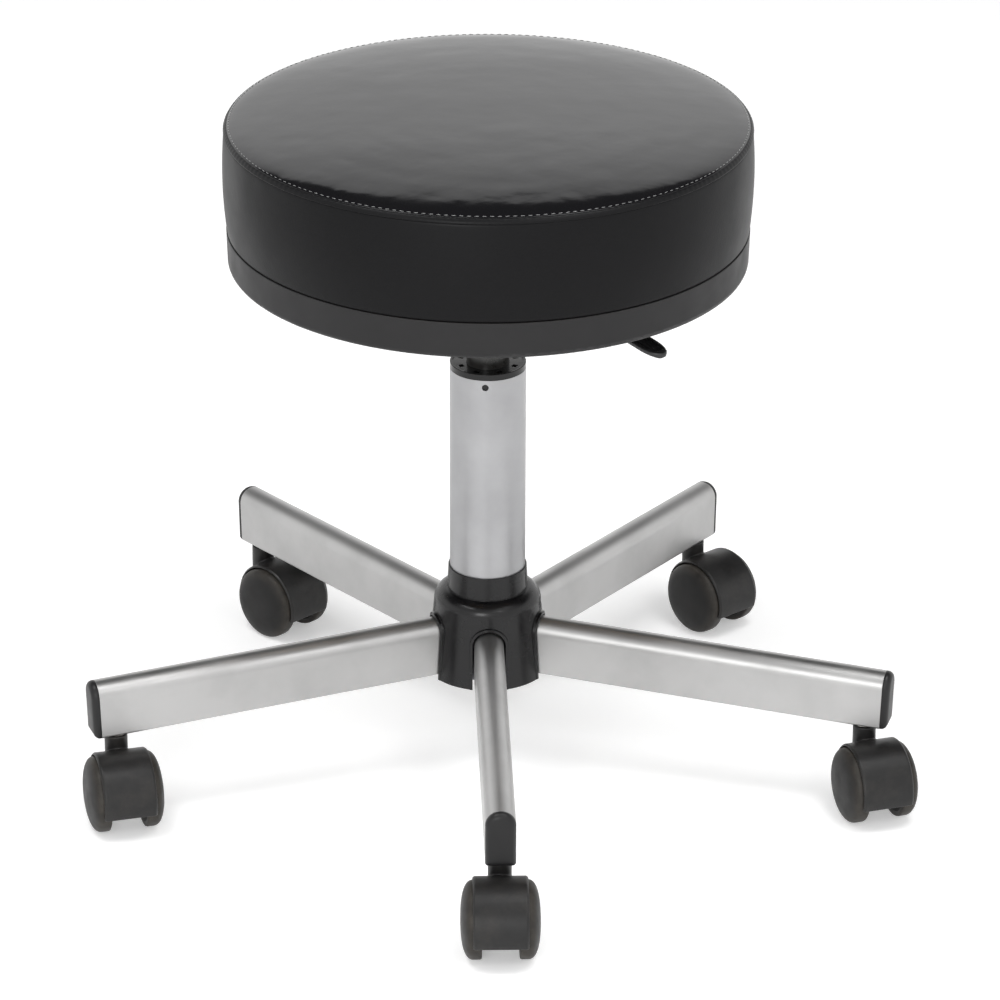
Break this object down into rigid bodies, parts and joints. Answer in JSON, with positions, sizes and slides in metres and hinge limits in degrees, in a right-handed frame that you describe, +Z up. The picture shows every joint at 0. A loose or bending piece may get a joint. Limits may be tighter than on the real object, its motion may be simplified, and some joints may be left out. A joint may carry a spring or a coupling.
{
  "type": "adjustable swivel stool",
  "caption": "Round padded swivel stool on a gas-lift column with a height lever, a five-arm tube base and hooded twin-wheel casters",
  "frame": {"origin": "on the floor, on the axis of the column, with the seat at its lowest", "axes": "+Z up along the column; -Y towards the front arm, which is turned 1.8 degrees from it; +X to the right as seen from the front"},
  "size_m": [0.5463, 0.5398, 0.4607],
  "materials": {
    "black_patent_vinyl": "gloss",
    "black_satin_vinyl": "satin",
    "grey_black_plastic": "satin",
    "black_satin_plastic": "satin",
    "black_gloss_plastic": "gloss",
    "caster_nylon": "matte",
    "silver_tube": "satin",
    "arm_chrome": "satin",
    "rod_chrome": "gloss",
    "dark_steel": "satin",
    "black_painted_steel": "satin",
    "bearing_steel": "gloss",
    "zinc_steel": "satin",
    "brass": "satin",
    "plywood": "matte",
    "foam": "matte"
  },
  "bodies": {
    "base": {"hub_core": "dark_steel", "hub_cover": "black_satin_plastic", "column_tube": "silver_tube", "guide_bush": "black_gloss_plastic", "column_foot": "dark_steel", "bearing_lower_race": "bearing_steel", "arm_1": "arm_chrome", "arm_2": "arm_chrome", "arm_3": "arm_chrome", "arm_4": "arm_chrome", "arm_5": "arm_chrome", "end_cap_1": "black_satin_plastic", "end_cap_2": "black_satin_plastic", "end_cap_3": "black_satin_plastic", "end_cap_4": "black_satin_plastic", "end_cap_5": "black_satin_plastic", "caster_stem_1": "zinc_steel", "caster_stem_2": "zinc_steel", "caster_stem_3": "zinc_steel", "caster_stem_4": "zinc_steel", "caster_stem_5": "zinc_steel"},
    "rod": {"piston_rod": "rod_chrome", "bearing_balls": "bearing_steel", "bearing_upper_race": "bearing_steel", "rod_clip": "dark_steel"},
    "seat": {"gas_cylinder": "black_painted_steel", "rod_guide": "black_gloss_plastic", "seat_mechanism": "black_painted_steel", "mechanism_bolts": "zinc_steel", "tee_nuts": "zinc_steel", "seat_board": "plywood", "seat_foam": "foam", "seat_top_cover": "black_patent_vinyl", "seat_side_cover": "black_satin_vinyl", "base_pan": "grey_black_plastic", "pan_screws": "zinc_steel"},
    "lever": {"lever_rod": "zinc_steel", "lever_pivot": "zinc_steel", "lever_paddle": "black_satin_plastic"},
    "release": {"release_pin": "brass"},
    "caster_1": {"caster_hood_1": "caster_nylon", "caster_axle_1": "zinc_steel"},
    "left_wheel_1": {"wheel_left_1": "caster_nylon"},
    "right_wheel_1": {"wheel_right_1": "caster_nylon"},
    "caster_2": {"caster_hood_2": "caster_nylon", "caster_axle_2": "zinc_steel"},
    "left_wheel_2": {"wheel_left_2": "caster_nylon"},
    "right_wheel_2": {"wheel_right_2": "caster_nylon"},
    "caster_3": {"caster_hood_3": "caster_nylon", "caster_axle_3": "zinc_steel"},
    "left_wheel_3": {"wheel_left_3": "caster_nylon"},
    "right_wheel_3": {"wheel_right_3": "caster_nylon"},
    "caster_4": {"caster_hood_4": "caster_nylon", "caster_axle_4": "zinc_steel"},
    "left_wheel_4": {"wheel_left_4": "caster_nylon"},
    "right_wheel_4": {"wheel_right_4": "caster_nylon"},
    "caster_5": {"caster_hood_5": "caster_nylon", "caster_axle_5": "zinc_steel"},
    "left_wheel_5": {"wheel_left_5": "caster_nylon"},
    "right_wheel_5": {"wheel_right_5": "caster_nylon"}
  },
  "joints": [
    {"name": "seat_swivel", "type": "hinge", "parent": "base", "child": "rod", "pos_m": [0, 0, 0.08], "axis": [0, 0, 1], "continuous": true},
    {"name": "seat_lift", "type": "slide", "parent": "rod", "child": "seat", "axis": [0, 0, 1], "range_m": [0, 0.12]},
    {"name": "lever_lift", "type": "hinge", "parent": "seat", "child": "lever", "pos_m": [0.01726, -0.01667, 0.34803], "axis": [-0.6947, -0.7193, 0], "range_deg": [0, 3.5], "stiffness_Nm_per_rad": 1.5, "springref_deg": -3.44},
    {"name": "release_press", "type": "slide", "parent": "seat", "child": "release", "axis": [0, 0, -1], "range_m": [0, 0.0016]},
    {"name": "caster_swivel_1", "type": "hinge", "parent": "base", "child": "caster_1", "pos_m": [0.00812, -0.25847, 0.055], "axis": [0, 0, 1], "continuous": true},
    {"name": "left_wheel_roll_1", "type": "hinge", "parent": "caster_1", "child": "left_wheel_1", "pos_m": [0.00859, -0.27887, 0.025], "axis": [0.9997, 0.0227, 0], "continuous": true},
    {"name": "right_wheel_roll_1", "type": "hinge", "parent": "caster_1", "child": "right_wheel_1", "pos_m": [0.00859, -0.27887, 0.025], "axis": [0.9997, 0.0227, 0], "continuous": true},
    {"name": "caster_swivel_2", "type": "hinge", "parent": "base", "child": "caster_2", "pos_m": [0.24833, -0.07215, 0.055], "axis": [0, 0, 1], "continuous": true},
    {"name": "left_wheel_roll_2", "type": "hinge", "parent": "caster_2", "child": "left_wheel_2", "pos_m": [0.25457, -0.09157, 0.025], "axis": [0.9521, 0.3057, 0], "continuous": true},
    {"name": "right_wheel_roll_2", "type": "hinge", "parent": "caster_2", "child": "right_wheel_2", "pos_m": [0.25457, -0.09157, 0.025], "axis": [0.9521, 0.3057, 0], "continuous": true},
    {"name": "caster_swivel_3", "type": "hinge", "parent": "base", "child": "caster_3", "pos_m": [0.14536, 0.21388, 0.055], "axis": [0, 0, 1], "continuous": true},
    {"name": "left_wheel_roll_3", "type": "hinge", "parent": "caster_3", "child": "left_wheel_3", "pos_m": [0.15876, 0.19851, 0.025], "axis": [0.7536, 0.6574, 0], "continuous": true},
    {"name": "right_wheel_roll_3", "type": "hinge", "parent": "caster_3", "child": "right_wheel_3", "pos_m": [0.15876, 0.19851, 0.025], "axis": [0.7536, 0.6574, 0], "continuous": true},
    {"name": "caster_swivel_4", "type": "hinge", "parent": "base", "child": "caster_4", "pos_m": [-0.1585, 0.20433, 0.055], "axis": [0, 0, 1], "continuous": true},
    {"name": "left_wheel_roll_4", "type": "hinge", "parent": "caster_4", "child": "left_wheel_4", "pos_m": [-0.14395, 0.19004, 0.025], "axis": [0.7009, 0.7133, 0], "continuous": true},
    {"name": "right_wheel_roll_4", "type": "hinge", "parent": "caster_4", "child": "right_wheel_4", "pos_m": [-0.14395, 0.19004, 0.025], "axis": [0.7009, 0.7133, 0], "continuous": true},
    {"name": "caster_swivel_5", "type": "hinge", "parent": "base", "child": "caster_5", "pos_m": [-0.24331, -0.0876, 0.055], "axis": [0, 0, 1], "continuous": true},
    {"name": "left_wheel_roll_5", "type": "hinge", "parent": "caster_5", "child": "left_wheel_5", "pos_m": [-0.238, -0.10729, 0.025], "axis": [0.9655, 0.2605, 0], "continuous": true},
    {"name": "right_wheel_roll_5", "type": "hinge", "parent": "caster_5", "child": "right_wheel_5", "pos_m": [-0.238, -0.10729, 0.025], "axis": [0.9655, 0.2605, 0], "continuous": true}
  ],
  "couplings": [
    {"joint": "release_press", "follows": "lever_lift", "m_per_rad": 0.024}
  ]
}
